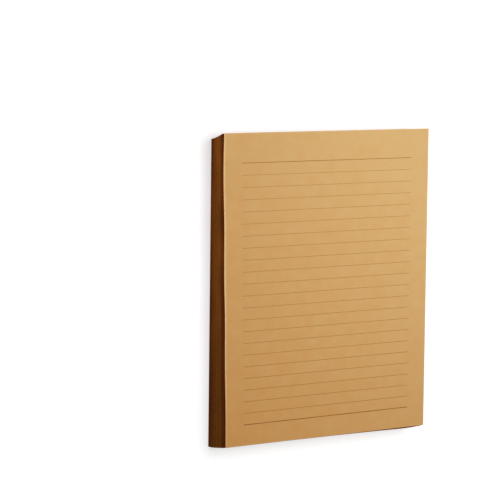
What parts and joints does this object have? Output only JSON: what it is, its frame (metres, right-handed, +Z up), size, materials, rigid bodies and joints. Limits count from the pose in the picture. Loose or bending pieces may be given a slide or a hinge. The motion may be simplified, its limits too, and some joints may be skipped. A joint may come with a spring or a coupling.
{
  "type": "lined letter paper",
  "caption": "Loose stack of small brown kraft letter paper, the top page ruled with thin lines between two heavier ones, its left edge a little raised.",
  "frame": {"origin": "middle of the stack's bounding box, on the surface that it lies on", "axes": "+X to the reader's right, +Y to the head of the page, +Z up, out of the ruled page"},
  "size_m": [0.154, 0.2174, 0.0219],
  "materials": {
    "kraft_paper": "matte",
    "brown_ink": "matte"
  },
  "bodies": {
    "root": {"lower_sheets": "kraft_paper", "loose_sheet_6": "kraft_paper", "loose_sheet_5": "kraft_paper", "loose_sheet_4": "kraft_paper", "loose_sheet_3": "kraft_paper", "loose_sheet_2": "kraft_paper", "top_sheet": "kraft_paper", "writing_lines": "brown_ink", "border_lines": "brown_ink"}
  },
  "joints": []
}
